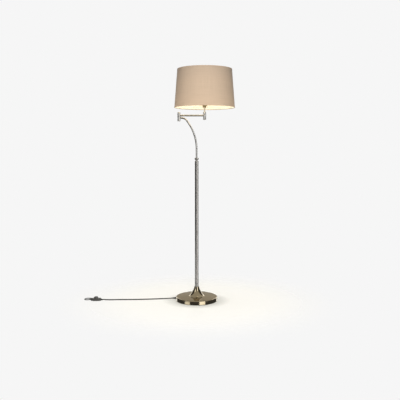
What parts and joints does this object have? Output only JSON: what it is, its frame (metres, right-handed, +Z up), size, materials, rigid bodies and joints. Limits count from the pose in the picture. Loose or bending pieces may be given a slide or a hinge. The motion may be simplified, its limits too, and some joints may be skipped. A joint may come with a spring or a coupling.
{
  "type": "pharmacy floor lamp",
  "caption": "Swing-arm floor lamp with a round weighted base, bowed tube, level arm, tapered fabric drum shade, and a mains cord with an in-line foot switch.",
  "frame": {"origin": "middle of the base's underside, on the floor and on the pole's axis", "axes": "+Z up along the pole, +X along the arm from the elbow to the shade, the cord leaves towards -X"},
  "size_m": [1.0208, 0.4, 1.5468],
  "materials": {
    "satin_bronze": "satin antique bronze plating",
    "bright_bronze": "satin antique nickel plating",
    "iron": "raw casting, painted black",
    "steel": "zinc plated",
    "brass": "plain",
    "felt": "pressed felt",
    "black_plastic": "moulded",
    "cord_grey": "extruded vinyl jacket",
    "switch_grey": "moulded, fine texture",
    "glass": "frosted",
    "linen": "woven linen, laminated",
    "lining": "styrene lining",
    "white_wire": "white enamel"
  },
  "bodies": {
    "stand": {"base_cover": "satin_bronze", "base_weight": "iron", "base_pad": "felt", "tie_stud": "steel", "tie_nut": "steel", "cord_bushing": "black_plastic", "cord_clamp": "steel", "clamp_screws": "steel", "stand_lead": "cord_grey", "pole_tube": "satin_bronze", "pole_foot": "steel", "pole_cap": "satin_bronze", "bow_bush": "brass", "neck_washer": "black_plastic", "switch_lower": "switch_grey", "switch_upper": "switch_grey", "switch_spring": "steel", "switch_block": "black_plastic", "switch_nozzles": "cord_grey", "cord_to_switch": "cord_grey", "cord_to_plug": "cord_grey", "cord_hank": "cord_grey", "hank_tie": "black_plastic", "plug_body": "cord_grey", "plug_blades": "brass"},
    "bow": {"bow_spigot": "steel", "bow_tube": "bright_bronze", "bow_bead": "bright_bronze", "bow_stop_ring": "steel", "bow_screws": "steel", "bow_lead": "black_plastic", "elbow_lower": "bright_bronze", "elbow_low_cap": "bright_bronze", "elbow_washer": "black_plastic", "elbow_pin": "steel"},
    "arm": {"elbow_upper": "bright_bronze", "elbow_top_cap": "bright_bronze", "elbow_pivot": "steel", "arm_tube": "bright_bronze", "arm_lead": "black_plastic", "head_barrel": "bright_bronze", "head_low_cap": "bright_bronze", "head_pin": "steel"},
    "head": {"stem_tube": "bright_bronze", "stem_collar": "bright_bronze", "stem_nuts": "bright_bronze", "harp_saddle": "bright_bronze", "harp": "brass", "harp_ferrules": "brass", "holder_shell": "brass", "holder_insert": "black_plastic", "screw_shell": "brass", "bulb_glass": "glass", "bulb_cap": "steel", "finial": "brass", "head_lead": "black_plastic", "shade_fabric": "linen", "shade_lining": "lining", "shade_frame": "white_wire"},
    "pedal": {"switch_pedal": "switch_grey"}
  },
  "joints": [
    {"name": "bow_swivel", "type": "hinge", "parent": "stand", "child": "bow", "pos_m": [0, 0, 0.955], "axis": [0, 0, 1], "range_deg": [-165, 165]},
    {"name": "elbow_swivel", "type": "hinge", "parent": "bow", "child": "arm", "pos_m": [-0.11718, 0, 1.22915], "axis": [0, 0, 1], "range_deg": [-165, 165]},
    {"name": "head_swivel", "type": "hinge", "parent": "arm", "child": "head", "pos_m": [0.05282, 0, 1.24485], "axis": [0, 0, 1], "range_deg": [-165, 165]},
    {"name": "switch_press", "type": "slide", "parent": "stand", "child": "pedal", "axis": [0, 0, -1], "range_m": [0, 0.003], "stiffness_N_per_m": 400, "springref_m": -0.002, "deforming": ["switch_spring"]}
  ]
}
